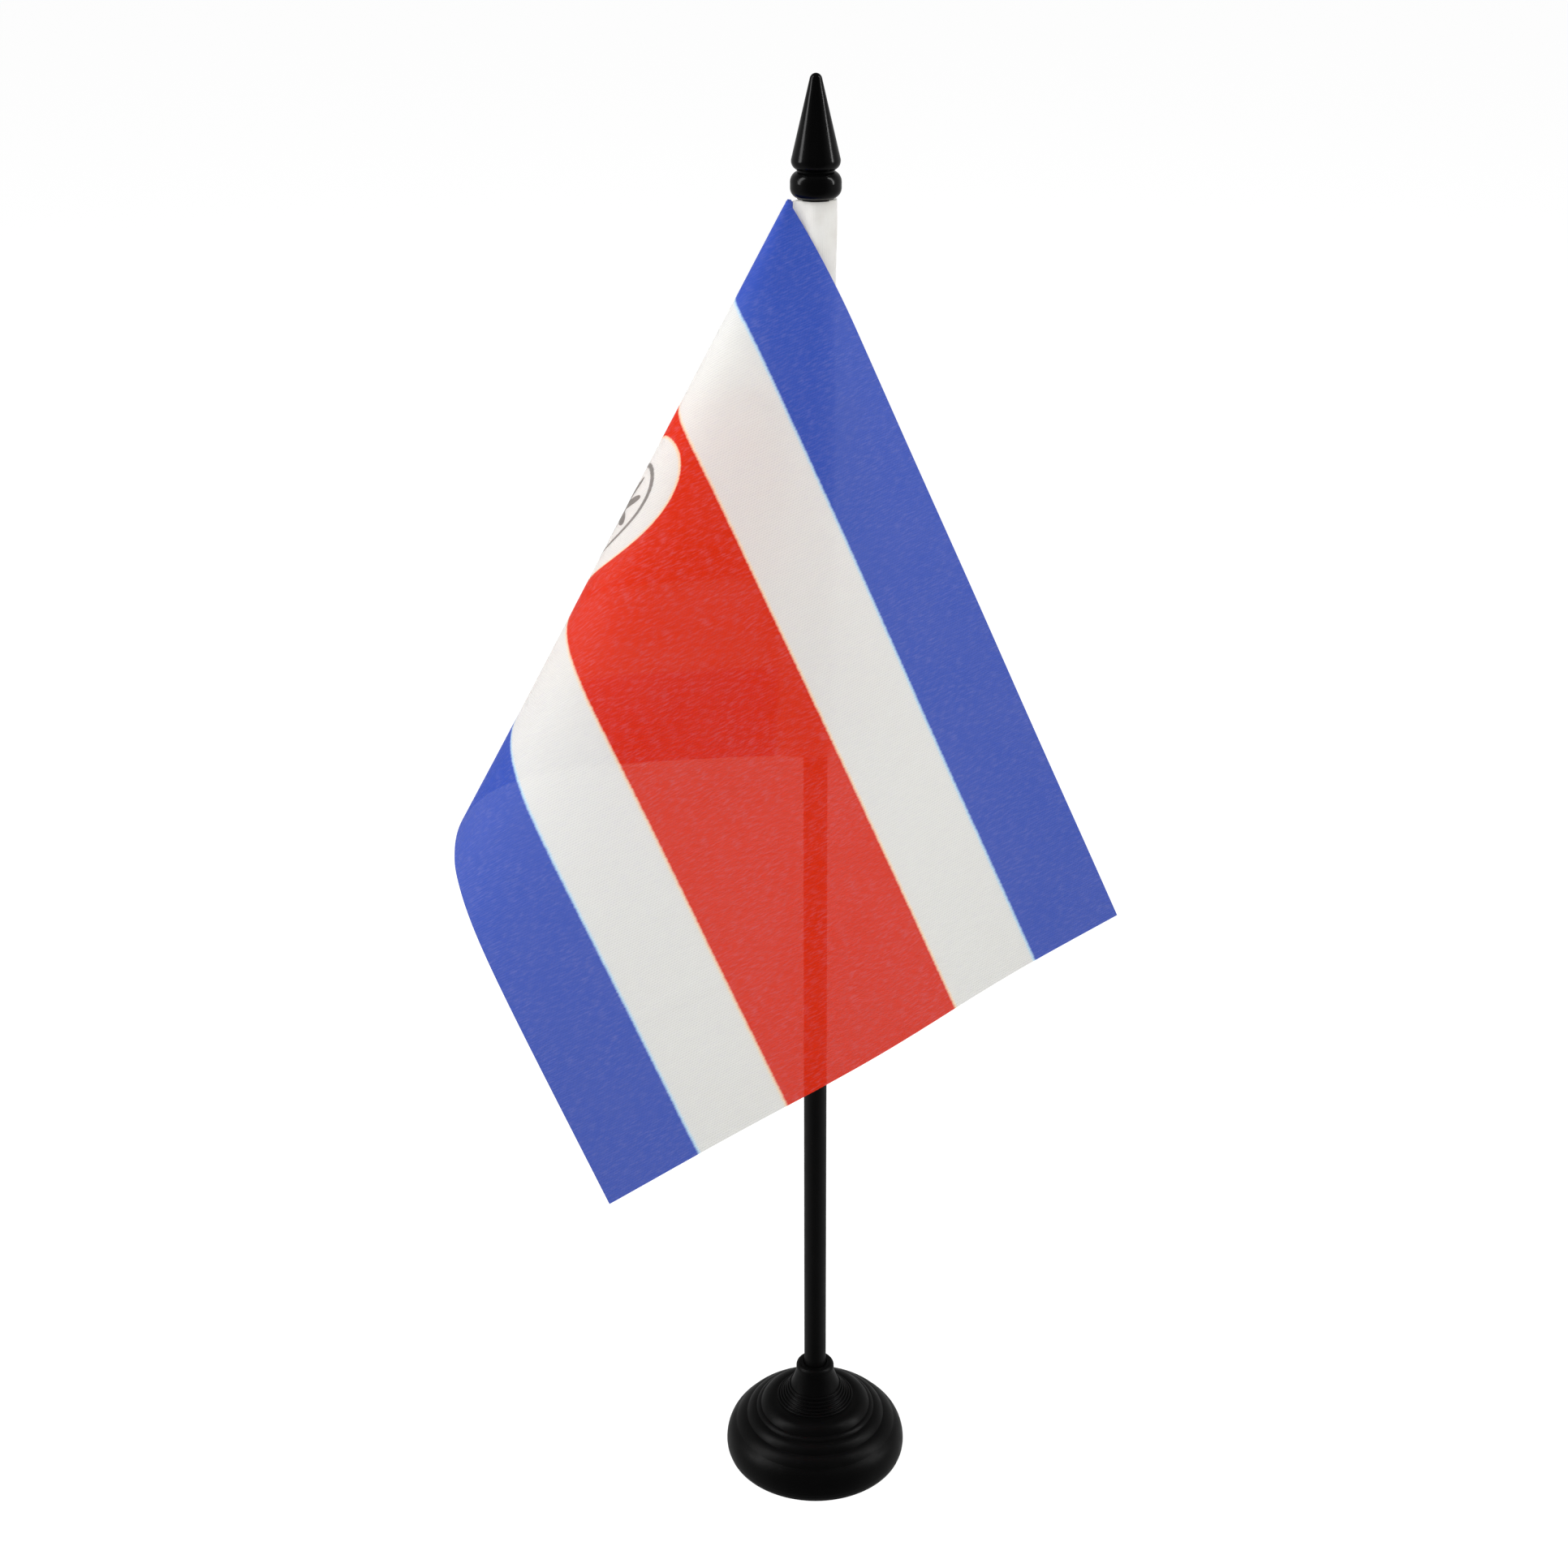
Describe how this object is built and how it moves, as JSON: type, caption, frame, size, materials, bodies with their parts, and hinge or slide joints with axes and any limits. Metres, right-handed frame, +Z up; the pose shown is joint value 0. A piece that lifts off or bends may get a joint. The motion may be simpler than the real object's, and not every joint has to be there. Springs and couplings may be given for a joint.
{
  "type": "desk flag stand",
  "caption": "Small striped cloth flag sewn round a thin pole, with a push-on spear finial and a round stepped plastic base.",
  "frame": {"origin": "centre of the base's underside, on the pole's axis, where the stand rests on the table", "axes": "+Z up along the pole, -Y towards the front, the side that the cloth hangs folded towards, +X to the right of a viewer in front"},
  "size_m": [0.1123, 0.0786, 0.2702],
  "materials": {
    "base_plastic": "satin black moulded plastic",
    "pole_plastic": "matte black extruded plastic",
    "finial_plastic": "glossy black moulded plastic",
    "printed_cloth": "thin woven polyester, printed right through in blue, white and red stripes",
    "sleeve_cloth": "the same thin woven polyester, unprinted",
    "thread": "spun polyester sewing thread"
  },
  "bodies": {
    "base": {"base_shell": "base_plastic"},
    "mast": {"pole": "pole_plastic"},
    "tip": {"finial": "finial_plastic"},
    "flag": {"flag_panel": "printed_cloth", "hoist_sleeve": "sleeve_cloth", "seam_needle_thread": "thread", "seam_bobbin_thread": "thread"}
  },
  "joints": [
    {"name": "pole_lift", "type": "slide", "parent": "base", "child": "mast", "axis": [0, 0, 1], "range_m": [0, 0.03]},
    {"name": "finial_lift", "type": "slide", "parent": "mast", "child": "tip", "axis": [0, 0, 1], "range_m": [0, 0.02]},
    {"name": "flag_turn", "type": "hinge", "parent": "mast", "child": "flag", "pos_m": [0, 0, 0.2], "axis": [0, 0, 1], "continuous": true}
  ]
}
